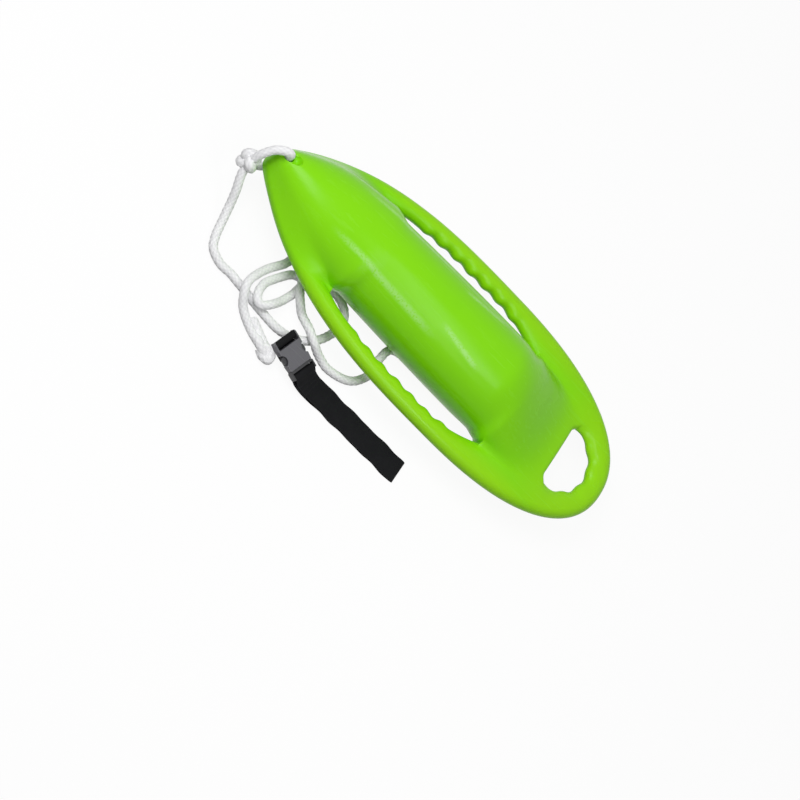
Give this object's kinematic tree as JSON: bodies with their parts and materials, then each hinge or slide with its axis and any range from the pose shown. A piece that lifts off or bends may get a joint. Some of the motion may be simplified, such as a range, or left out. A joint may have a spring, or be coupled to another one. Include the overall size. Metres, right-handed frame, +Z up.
{
  "type": "lifeguard rescue can",
  "caption": "Moulded torpedo-shaped rescue float with side and rear grips, a knotted tow rope through its nose, and a webbing belt with a side-release buckle.",
  "frame": {"origin": "on the floor under the middle of the can, which lies on its flat belly", "axes": "+Z up; +Y along the can from its nose towards its tail; +X towards the left grip, the side on which the belt lies"},
  "size_m": [0.361, 0.7817, 0.152],
  "materials": {
    "hull_green": "satin moulded polyethylene, lime green through the material",
    "foam_cream": "rigid closed-cell foam",
    "plug_green": "satin moulded plug",
    "rope_white": "soft white braided rope",
    "webbing_black": "matte black woven webbing",
    "buckle_grey": "glossy moulded acetal, near black"
  },
  "bodies": {
    "can": {"hull_shell": "hull_green", "foam_core": "foam_cream", "fill_plug": "plug_green", "vent_plug": "plug_green", "nose_loop": "rope_white", "nose_knot": "rope_white", "tow_rope": "rope_white", "belt_knot": "rope_white", "belt_webbing": "webbing_black", "buckle_housing": "buckle_grey"},
    "insert": {"buckle_insert": "buckle_grey"},
    "left_arm": {"latch_arm_left": "buckle_grey"},
    "right_arm": {"latch_arm_right": "buckle_grey"}
  },
  "joints": [
    {"name": "insert_slide", "type": "slide", "parent": "can", "child": "insert", "axis": [0.2773, 0.9608, 0], "range_m": [0, 0.034], "deforming": ["latch_arm_left", "latch_arm_right", "belt_webbing"]},
    {"name": "left_arm_press", "type": "hinge", "parent": "insert", "child": "left_arm", "pos_m": [0.1988, -0.13817, 0.0224], "axis": [0, 0, -1], "range_deg": [0, 13], "stiffness_Nm_per_rad": 0.3},
    {"name": "right_arm_press", "type": "hinge", "parent": "insert", "child": "right_arm", "pos_m": [0.17266, -0.13063, 0.0224], "axis": [0, 0, 1], "range_deg": [0, 13], "stiffness_Nm_per_rad": 0.3}
  ]
}
